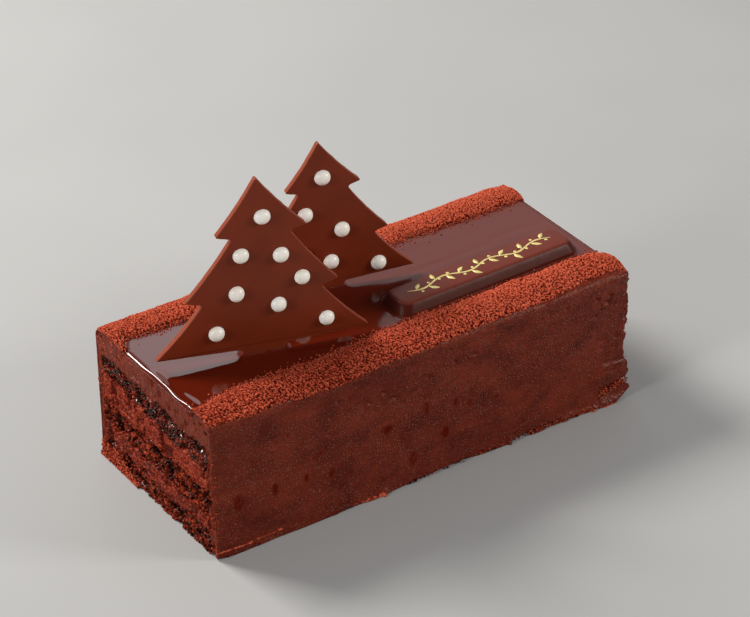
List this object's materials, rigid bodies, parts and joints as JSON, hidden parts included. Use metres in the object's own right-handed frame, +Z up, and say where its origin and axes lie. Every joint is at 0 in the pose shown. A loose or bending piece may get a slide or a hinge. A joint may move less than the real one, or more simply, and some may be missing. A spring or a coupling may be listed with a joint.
{
  "type": "yule log cake",
  "caption": "Rectangular chocolate yule log cake in layers, with glaze, cocoa ridges, chocolate fir trees and a chocolate bar on top.",
  "frame": {"origin": "middle of the face that the cake rests on", "axes": "+X along the length, towards the end without the trees; -Y out of the front long side; +Z up"},
  "size_m": [0.16, 0.0723, 0.1124],
  "materials": {
    "ganache": "satin",
    "sponge": "rough",
    "cream": "matte",
    "glaze": "gloss",
    "tree_chocolate": "satin",
    "bar_chocolate": "satin",
    "cocoa_powder": "powder",
    "sugar_pearl": "satin",
    "gold_paint": "satin"
  },
  "bodies": {
    "root": {"ganache_coat": "ganache", "sponge_top": "sponge", "cream_upper": "cream", "sponge_middle": "sponge", "cream_lower": "cream", "sponge_bottom": "sponge", "glaze": "glaze", "tree_front": "tree_chocolate", "tree_rear": "tree_chocolate", "chocolate_bar": "bar_chocolate"}
  },
  "joints": []
}
